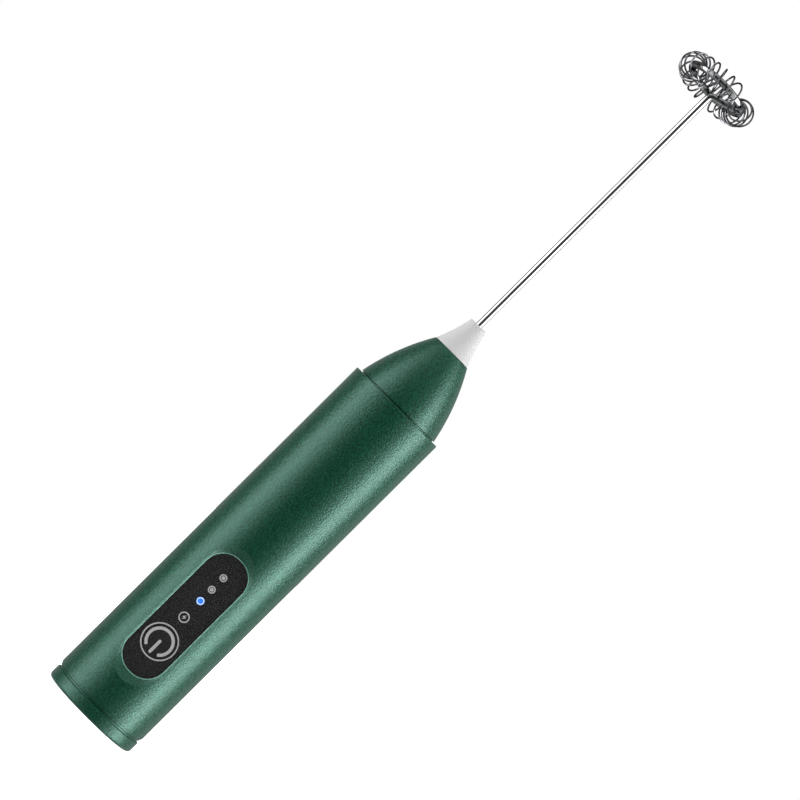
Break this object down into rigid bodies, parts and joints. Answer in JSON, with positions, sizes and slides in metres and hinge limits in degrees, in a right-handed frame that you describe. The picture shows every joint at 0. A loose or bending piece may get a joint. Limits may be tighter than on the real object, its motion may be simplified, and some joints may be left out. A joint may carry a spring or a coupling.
{
  "type": "milk frother",
  "caption": "Cordless hand-held milk frother: round handle with a touch panel, cone nose, plug-in whisk with a steel rod and coiled ring.",
  "frame": {"origin": "centre of the base's flat face", "axes": "+Z along the handle from the base to the whisk, -Y out of the control panel, +X to the right when the panel is read with the whisk up"},
  "size_m": [0.029, 0.029, 0.2337],
  "materials": {
    "handle_green": "pearl paint, matte",
    "panel_black": "fine satin texture",
    "tape": "adhesive foam",
    "clear": "clear",
    "board_green": "solder mask",
    "black_moulding": "moulded",
    "led_white": "encapsulated",
    "steel": "plain",
    "cell_wrap": "shrink sleeve",
    "nickel": "nickel plate",
    "wire_jacket": "flexible insulation",
    "chassis_grey": "moulded",
    "magnet": "sintered",
    "bronze": "sintered bush",
    "carbon": "pressed carbon",
    "damper": "soft rubber",
    "nylon_white": "moulded",
    "lamination": "stacked sheet",
    "copper": "enamelled wire",
    "hub_white": "satin",
    "polished_steel": "polished"
  },
  "bodies": {
    "handle": {"handle_tube": "handle_green", "end_cap": "handle_green", "nose_cone": "handle_green", "control_panel": "panel_black", "panel_tape": "tape", "light_guide": "clear", "switch_body": "black_moulding", "circuit_board": "board_green", "frame_screws": "steel", "indicator_leds": "led_white", "control_chips": "black_moulding", "charging_socket": "nickel", "socket_tongue": "black_moulding", "battery_cell": "cell_wrap", "cell_tabs": "nickel", "cell_leads": "wire_jacket", "chassis": "chassis_grey", "motor_can": "steel", "motor_end_bell": "nylon_white", "motor_magnets": "magnet", "motor_bushes": "bronze", "motor_terminals": "copper", "motor_brushes": "carbon", "motor_leads": "wire_jacket", "motor_sleeve": "damper", "motor_plate": "steel", "motor_screws": "steel", "nose_bushing": "bronze", "shaft_seal": "damper"},
    "rotor": {"motor_shaft": "steel", "armature_core": "lamination", "armature_windings": "copper", "commutator": "copper", "drive_coupler": "nylon_white"},
    "whisk": {"whisk_hub": "hub_white", "whisk_rod": "polished_steel", "whisk_coil": "polished_steel"},
    "button": {"power_button": "panel_black", "switch_plunger": "black_moulding"}
  },
  "joints": [
    {"name": "rotor_spin", "type": "hinge", "parent": "handle", "child": "rotor", "pos_m": [0, 0, 0.1], "axis": [0, 0, 1], "continuous": true},
    {"name": "whisk_pull", "type": "slide", "parent": "rotor", "child": "whisk", "axis": [0, 0, 1], "range_m": [0, 0.012]},
    {"name": "button_press", "type": "slide", "parent": "handle", "child": "button", "axis": [0, 1, 0], "range_m": [0, 0.00025], "stiffness_N_per_m": 3000, "springref_m": -0.0002}
  ]
}
